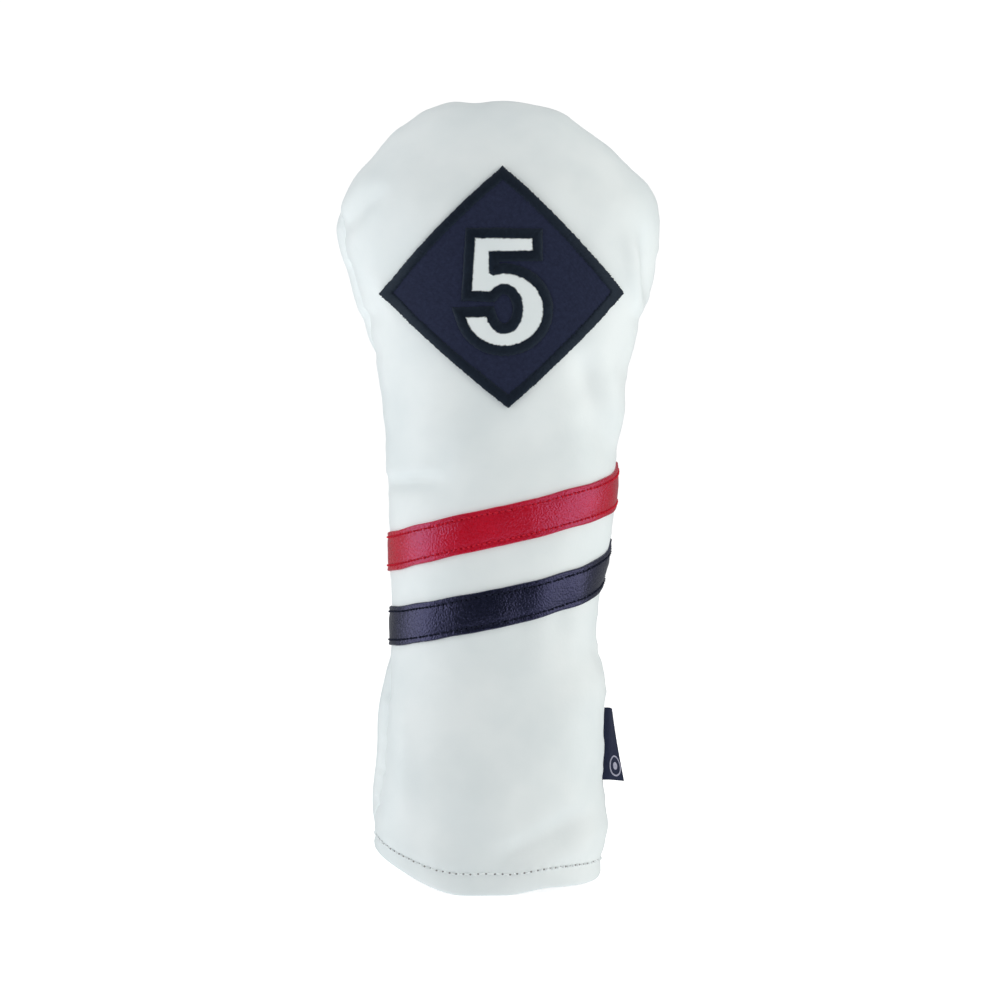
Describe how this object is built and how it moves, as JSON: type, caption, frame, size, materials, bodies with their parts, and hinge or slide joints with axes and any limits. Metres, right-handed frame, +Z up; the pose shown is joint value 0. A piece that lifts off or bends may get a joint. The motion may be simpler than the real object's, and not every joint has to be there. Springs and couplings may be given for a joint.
{
  "type": "golf club headcover",
  "caption": "Slip-on leather headcover for a fairway wood: fleece-lined sock with a stitched number patch, slanted stripes, a gathered neck and a woven side label.",
  "frame": {"origin": "on the surface that the hem stands on, below the middle of the cover's box", "axes": "+Z up from the hem to the crown, +X to the right across the front, +Y from the front to the back; the side seams lie in the plane y = 0"},
  "size_m": [0.1204, 0.0899, 0.2915],
  "materials": {
    "white_leather": "fine-grained synthetic leather, low sheen",
    "fleece": "brushed knitted fleece",
    "white_thread": "twisted polyester thread",
    "red_leather": "fine-grained synthetic leather, satin sheen",
    "red_thread": "twisted polyester thread",
    "navy_leather": "fine-grained synthetic leather, satin sheen",
    "navy_thread": "twisted polyester thread",
    "backing_cloth": "non-woven backing",
    "navy_cloth": "felted cloth",
    "navy_satin": "satin-stitch embroidery",
    "elastic": "braided elastic",
    "woven_label": "damask-woven label",
    "grey_yarn": "woven yarn"
  },
  "bodies": {
    "cover": {"front_panel": "white_leather", "back_panel": "white_leather", "front_lining": "fleece", "back_lining": "fleece", "seam_thread": "white_thread", "hem_thread": "white_thread", "red_stripe": "red_leather", "red_thread_upper": "red_thread", "red_thread_lower": "red_thread", "navy_stripe": "navy_leather", "navy_thread_upper": "navy_thread", "navy_thread_lower": "navy_thread", "patch_backing": "backing_cloth", "diamond_patch": "navy_cloth", "patch_border": "navy_satin", "numeral_inlay": "white_leather", "numeral_border": "navy_satin", "elastic_band": "elastic", "elastic_thread_upper": "white_thread", "elastic_thread_lower": "white_thread", "label_root": "woven_label"},
    "label": {"label_flap": "woven_label", "label_emblem": "grey_yarn"}
  },
  "joints": [
    {"name": "label_swing", "type": "hinge", "parent": "cover", "child": "label", "pos_m": [0.04053, 0, 0.0515], "axis": [0, 0, 1], "range_deg": [-130, 8]}
  ]
}
